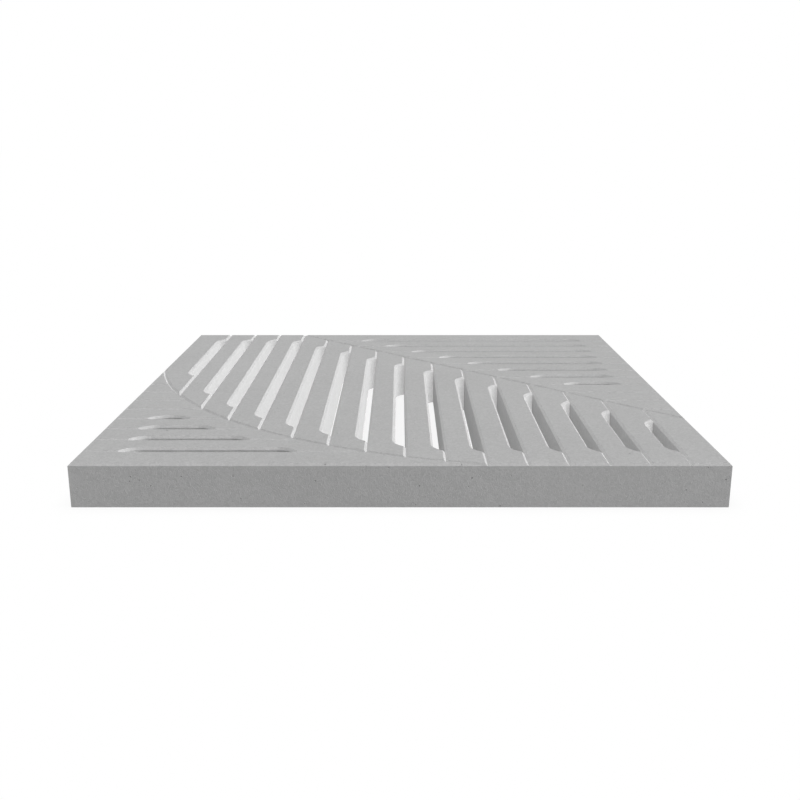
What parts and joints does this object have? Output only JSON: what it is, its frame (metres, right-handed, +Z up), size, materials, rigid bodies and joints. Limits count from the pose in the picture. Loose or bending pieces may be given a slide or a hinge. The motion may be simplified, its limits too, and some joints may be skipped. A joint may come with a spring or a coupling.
{
  "type": "sump cover",
  "caption": "Square one-piece sump cover with narrow drain slots between V grooves, lengthwise in a diagonal band and crosswise in two opposite corners.",
  "frame": {"origin": "middle of the flat underside", "axes": "+Z up, through the thickness; +Y away from the front edge, along the band's slots; +X to the right, along the corner slots"},
  "size_m": [0.45, 0.45, 0.0315],
  "materials": {
    "cast_stone": "matte"
  },
  "bodies": {
    "root": {"cover": "cast_stone"}
  },
  "joints": []
}
